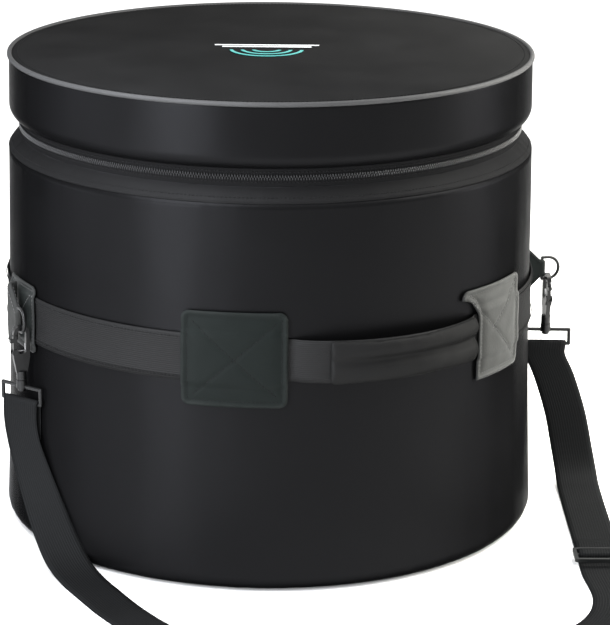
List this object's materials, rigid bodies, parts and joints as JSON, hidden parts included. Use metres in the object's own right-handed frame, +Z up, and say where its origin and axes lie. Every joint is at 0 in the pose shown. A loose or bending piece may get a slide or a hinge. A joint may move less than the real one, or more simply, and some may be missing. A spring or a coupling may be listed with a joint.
{
  "type": "soft instrument case",
  "caption": "Round padded soft case with a zip-on hinged lid, carrying handles on two sides, and an adjustable shoulder strap on snap hooks.",
  "frame": {"origin": "centre of the flat underside, on the surface the case stands on", "axes": "+Z up along the case's axis, -Y towards the front handle, +X towards the right strap ring"},
  "size_m": [0.5788, 0.7257, 0.4374],
  "materials": {
    "outer_cloth": "satin coated polyester oxford, fine plain weave, black",
    "lid_cloth": "black textured weave on the lid top, slightly coarser and more matt",
    "foam": "closed cell padding foam, hidden between cloth and lining",
    "lining": "soft brushed lining cloth, dark grey",
    "piping": "grey corded piping with a faint sheen",
    "print_white": "flat printed mark, off white",
    "print_teal": "flat printed mark, teal",
    "zip_tape": "woven zip tape, herringbone",
    "zip_coil": "moulded nylon coil, black",
    "zip_metal": "zip slider and stops, black enamel on die cast zinc",
    "webbing": "ribbed black polypropylene webbing",
    "strap_webbing": "close ribbed black polyester strap webbing",
    "leather": "soft dark grey synthetic leather with a sewn edge",
    "leather_light": "soft grey synthetic leather with a sewn edge",
    "grip": "padded grip cloth, folded and sewn",
    "hardware": "black enamelled die cast hook, ring and loop",
    "spring_steel": "plain spring steel",
    "buckle": "moulded black acetal three-bar slide"
  },
  "bodies": {
    "case": {"body_cloth": "outer_cloth", "body_foam": "foam", "body_lining": "lining", "base_cloth": "outer_cloth", "base_foam": "foam", "base_lining": "lining", "zip_tape_lower": "zip_tape", "zip_coil_lower": "zip_coil", "zip_stops": "zip_metal", "hinge_panel": "outer_cloth", "belt_right": "webbing", "belt_left": "webbing", "patch_front_left": "leather", "patch_front_right": "leather_light", "patch_back_left": "leather", "patch_back_right": "leather", "ring_patch_right": "leather", "ring_patch_left": "leather_light", "ring_tab_right": "leather", "ring_tab_left": "leather_light", "handle_front_webbing": "webbing", "handle_front_grip": "grip", "handle_back_webbing": "webbing", "handle_back_grip": "grip", "strap_loop_right": "hardware", "strap_loop_left": "hardware", "strap_fold_right": "strap_webbing", "strap_fold_left": "strap_webbing", "strap_webbing": "strap_webbing", "strap_return": "strap_webbing"},
    "lid": {"lid_top_cloth": "lid_cloth", "lid_top_foam": "foam", "lid_top_lining": "lining", "lid_band_cloth": "outer_cloth", "lid_band_foam": "foam", "lid_band_lining": "lining", "lid_piping": "piping", "lid_emblem_bars": "print_white", "lid_emblem_ripples": "print_teal", "zip_tape_upper": "zip_tape", "zip_coil_upper": "zip_coil"},
    "slider_a": {"zip_slider_a": "zip_metal"},
    "slider_b": {"zip_slider_b": "zip_metal"},
    "pull_a": {"zip_pull_a": "zip_metal"},
    "pull_b": {"zip_pull_b": "zip_metal"},
    "ring_right": {"strap_ring_right": "hardware"},
    "ring_left": {"strap_ring_left": "hardware"},
    "swivel_hook_right": {"hook_right": "hardware", "gate_spring_right": "spring_steel"},
    "swivel_hook_left": {"hook_left": "hardware", "gate_spring_left": "spring_steel"},
    "gate_right": {"hook_gate_right": "hardware"},
    "gate_left": {"hook_gate_left": "hardware"},
    "adjuster": {"strap_adjuster": "buckle", "adjuster_fold": "strap_webbing"}
  },
  "joints": [
    {"name": "lid_hinge", "type": "hinge", "parent": "case", "child": "lid", "pos_m": [0, 0.23, 0.37], "axis": [-1, 0, 0], "range_deg": [0, 105]},
    {"name": "slider_a_run", "type": "hinge", "parent": "case", "child": "slider_a", "pos_m": [0, 0, 0.37], "axis": [0, 0, 1], "range_deg": [0, 43]},
    {"name": "slider_b_run", "type": "hinge", "parent": "case", "child": "slider_b", "pos_m": [0, 0, 0.37], "axis": [0, 0, 1], "range_deg": [-252, 0]},
    {"name": "pull_a_flip", "type": "hinge", "parent": "slider_a", "child": "pull_a", "pos_m": [0.22502, 0.06879, 0.37], "axis": [0, 0, -1], "range_deg": [0, 150]},
    {"name": "pull_b_flip", "type": "hinge", "parent": "slider_b", "child": "pull_b", "pos_m": [0.23016, 0.04892, 0.37], "axis": [0, 0, 1], "range_deg": [0, 150]},
    {"name": "ring_right_swing", "type": "hinge", "parent": "case", "child": "ring_right", "pos_m": [0.26475, -0.04668, 0.212], "axis": [0, 0, 1], "range_deg": [-8, 8]},
    {"name": "ring_left_swing", "type": "hinge", "parent": "case", "child": "ring_left", "pos_m": [-0.2546, -0.018, 0.212], "axis": [0, 0, 1], "range_deg": [-8, 8]},
    {"name": "hook_right_swivel", "type": "hinge", "parent": "case", "child": "swivel_hook_right", "pos_m": [0.27016, -0.04764, 0.2015], "axis": [0, 0, 1], "range_deg": [-15, 15]},
    {"name": "hook_left_swivel", "type": "hinge", "parent": "case", "child": "swivel_hook_left", "pos_m": [-0.2546, -0.0235, 0.2015], "axis": [0, 0, 1], "range_deg": [-15, 15]},
    {"name": "gate_right_press", "type": "hinge", "parent": "swivel_hook_right", "child": "gate_right", "pos_m": [0.26914, -0.05345, 0.1825], "axis": [-0.9848, 0.1736, 0], "range_deg": [0, 20], "stiffness_Nm_per_rad": 0.02, "springref_deg": -17.19},
    {"name": "gate_left_press", "type": "hinge", "parent": "swivel_hook_left", "child": "gate_left", "pos_m": [-0.2605, -0.0235, 0.1825], "axis": [0, 1, 0], "range_deg": [0, 20], "stiffness_Nm_per_rad": 0.02, "springref_deg": -17.19},
    {"name": "adjuster_slide", "type": "slide", "parent": "case", "child": "adjuster", "axis": [0.4003, 0.9164, 0], "range_m": [-0.01, 0.06]}
  ]
}
